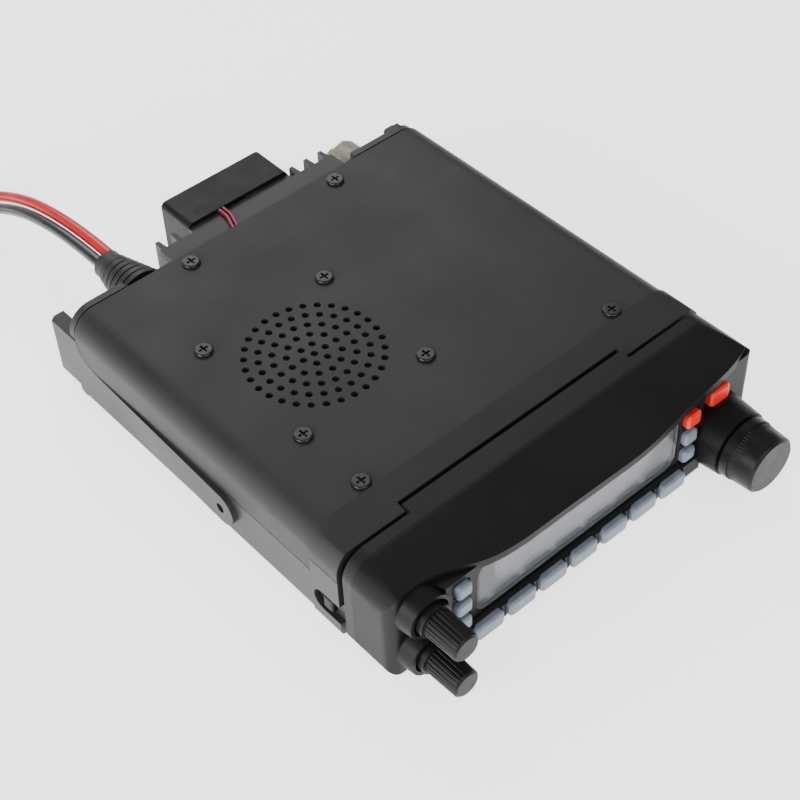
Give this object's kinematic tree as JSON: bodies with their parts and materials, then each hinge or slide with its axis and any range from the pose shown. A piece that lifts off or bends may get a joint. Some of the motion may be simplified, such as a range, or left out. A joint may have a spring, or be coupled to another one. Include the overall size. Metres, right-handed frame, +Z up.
{
  "type": "mobile transceiver",
  "caption": "Slim vehicle radio: finned cast chassis, folded cover with speaker grille, slide-off control head with display, keys, knobs and dial, rear fan, antenna socket and supply leads.",
  "frame": {"origin": "under the middle of the set, on the surface it stands on; the supply leads and their plug aren't counted", "axes": "+Z up, +Y from the control head to the rear fan, -Y towards the operator, +X to the operator's right"},
  "size_m": [0.1725, 0.2854, 0.035],
  "materials": {
    "cast_black": "painted satin black",
    "cover_paint": "fine textured black paint",
    "case_plastic": "satin moulded",
    "knob_plastic": "matt moulded",
    "screw_black": "blackened",
    "speaker_steel": "zinc plated",
    "cone_paper": "pressed paper",
    "magnet": "sintered",
    "felt": "felt",
    "board": "solder mask",
    "chips": "moulded epoxy",
    "tin": "tinned",
    "nickel": "nickel plated",
    "white_plastic": "moulded",
    "brass_contact": "plated",
    "relief_rubber": "moulded rubber",
    "red_wire": "glossy",
    "black_wire": "glossy",
    "fan_wire": "glossy",
    "plug_nylon": "moulded nylon",
    "key_grey": "satin moulded",
    "key_red": "translucent moulded",
    "window": "clear",
    "lcd": "unlit liquid crystal",
    "spring_steel": "drawn",
    "mat_rubber": "silicone"
  },
  "bodies": {
    "radio_body": {"antenna_contact": "brass_contact", "antenna_insulator": "white_plastic", "antenna_socket": "nickel", "black_lead": "black_wire", "board_parts": "chips", "board_screws": "tin", "chassis": "cast_black", "cover_screws": "screw_black", "fan_leads": "fan_wire", "fan_screws": "screw_black", "fan_shroud": "case_plastic", "fan_stator": "case_plastic", "front_frame": "case_plastic", "head_socket": "case_plastic", "main_board": "board", "power_module": "chips", "power_plug": "plug_nylon", "red_lead": "red_wire", "shield_can": "tin", "speaker_cone": "cone_paper", "speaker_felt": "felt", "speaker_frame": "speaker_steel", "speaker_jack": "case_plastic", "speaker_magnet": "magnet", "speaker_screws": "screw_black", "strain_relief": "relief_rubber", "top_cover": "cover_paint"},
    "control_head": {"head_front_case": "case_plastic", "head_rear_case": "case_plastic", "display_window": "window", "lcd_panel": "lcd", "light_box": "white_plastic", "head_board": "board", "volume_pot": "chips", "squelch_pot": "chips", "dial_encoder": "chips", "key_mat": "mat_rubber", "head_screws": "screw_black", "head_plug": "case_plastic"},
    "release_latch": {"release_latch": "case_plastic", "latch_spring": "spring_steel"},
    "fan_rotor": {"fan_rotor": "case_plastic"},
    "main_dial": {"main_dial": "knob_plastic"},
    "volume_knob": {"volume_knob": "knob_plastic"},
    "squelch_knob": {"squelch_knob": "knob_plastic"},
    "function_key_1": {"function_key_1": "key_grey"},
    "function_key_2": {"function_key_2": "key_grey"},
    "function_key_3": {"function_key_3": "key_grey"},
    "function_key_4": {"function_key_4": "key_grey"},
    "function_key_5": {"function_key_5": "key_grey"},
    "function_key_6": {"function_key_6": "key_grey"},
    "function_key_7": {"function_key_7": "key_grey"},
    "memory_key_1": {"memory_key_1": "key_grey"},
    "memory_key_2": {"memory_key_2": "key_grey"},
    "memory_key_3": {"memory_key_3": "key_grey"},
    "memory_key_4": {"memory_key_4": "key_grey"},
    "memory_key_5": {"memory_key_5": "key_grey"},
    "red_key_small": {"red_key_small": "key_red"},
    "red_key_large": {"red_key_large": "key_red"}
  },
  "joints": [
    {"name": "head_slide", "type": "slide", "parent": "radio_body", "child": "control_head", "axis": [0, -1, 0], "range_m": [0, 0.03]},
    {"name": "dial_turn", "type": "hinge", "parent": "control_head", "child": "main_dial", "pos_m": [0.053, -0.08, 0.0112], "axis": [0, 1, 0], "continuous": true},
    {"name": "volume_turn", "type": "hinge", "parent": "control_head", "child": "volume_knob", "pos_m": [-0.06, -0.08, 0.024], "axis": [0, 1, 0], "range_deg": [-150, 150]},
    {"name": "squelch_turn", "type": "hinge", "parent": "control_head", "child": "squelch_knob", "pos_m": [-0.06, -0.08, 0.008], "axis": [0, 1, 0], "range_deg": [-150, 150]},
    {"name": "latch_press", "type": "slide", "parent": "radio_body", "child": "release_latch", "axis": [1, 0, 0], "range_m": [0, 0.0012], "stiffness_N_per_m": 800, "springref_m": -0.001},
    {"name": "fan_spin", "type": "hinge", "parent": "radio_body", "child": "fan_rotor", "pos_m": [0.002, 0.0925, 0.0168], "axis": [0, 1, 0], "continuous": true},
    {"name": "function_key_1_press", "type": "slide", "parent": "control_head", "child": "function_key_1", "axis": [0, 1, 0], "range_m": [0, 0.0008], "stiffness_N_per_m": 500, "springref_m": -0.001},
    {"name": "function_key_2_press", "type": "slide", "parent": "control_head", "child": "function_key_2", "axis": [0, 1, 0], "range_m": [0, 0.0008], "stiffness_N_per_m": 500, "springref_m": -0.001},
    {"name": "function_key_3_press", "type": "slide", "parent": "control_head", "child": "function_key_3", "axis": [0, 1, 0], "range_m": [0, 0.0008], "stiffness_N_per_m": 500, "springref_m": -0.001},
    {"name": "function_key_4_press", "type": "slide", "parent": "control_head", "child": "function_key_4", "axis": [0, 1, 0], "range_m": [0, 0.0008], "stiffness_N_per_m": 500, "springref_m": -0.001},
    {"name": "function_key_5_press", "type": "slide", "parent": "control_head", "child": "function_key_5", "axis": [0, 1, 0], "range_m": [0, 0.0008], "stiffness_N_per_m": 500, "springref_m": -0.001},
    {"name": "function_key_6_press", "type": "slide", "parent": "control_head", "child": "function_key_6", "axis": [0, 1, 0], "range_m": [0, 0.0008], "stiffness_N_per_m": 500, "springref_m": -0.001},
    {"name": "function_key_7_press", "type": "slide", "parent": "control_head", "child": "function_key_7", "axis": [0, 1, 0], "range_m": [0, 0.0008], "stiffness_N_per_m": 500, "springref_m": -0.001},
    {"name": "memory_key_1_press", "type": "slide", "parent": "control_head", "child": "memory_key_1", "axis": [0, 1, 0], "range_m": [0, 0.0008], "stiffness_N_per_m": 500, "springref_m": -0.001},
    {"name": "memory_key_2_press", "type": "slide", "parent": "control_head", "child": "memory_key_2", "axis": [0, 1, 0], "range_m": [0, 0.0008], "stiffness_N_per_m": 500, "springref_m": -0.001},
    {"name": "memory_key_3_press", "type": "slide", "parent": "control_head", "child": "memory_key_3", "axis": [0, 1, 0], "range_m": [0, 0.0008], "stiffness_N_per_m": 500, "springref_m": -0.001},
    {"name": "memory_key_4_press", "type": "slide", "parent": "control_head", "child": "memory_key_4", "axis": [0, 1, 0], "range_m": [0, 0.0008], "stiffness_N_per_m": 500, "springref_m": -0.001},
    {"name": "memory_key_5_press", "type": "slide", "parent": "control_head", "child": "memory_key_5", "axis": [0, 1, 0], "range_m": [0, 0.0008], "stiffness_N_per_m": 500, "springref_m": -0.001},
    {"name": "red_key_small_press", "type": "slide", "parent": "control_head", "child": "red_key_small", "axis": [0, 1, 0], "range_m": [0, 0.0008], "stiffness_N_per_m": 500, "springref_m": -0.001},
    {"name": "red_key_large_press", "type": "slide", "parent": "control_head", "child": "red_key_large", "axis": [0, 1, 0], "range_m": [0, 0.0008], "stiffness_N_per_m": 500, "springref_m": -0.001}
  ]
}
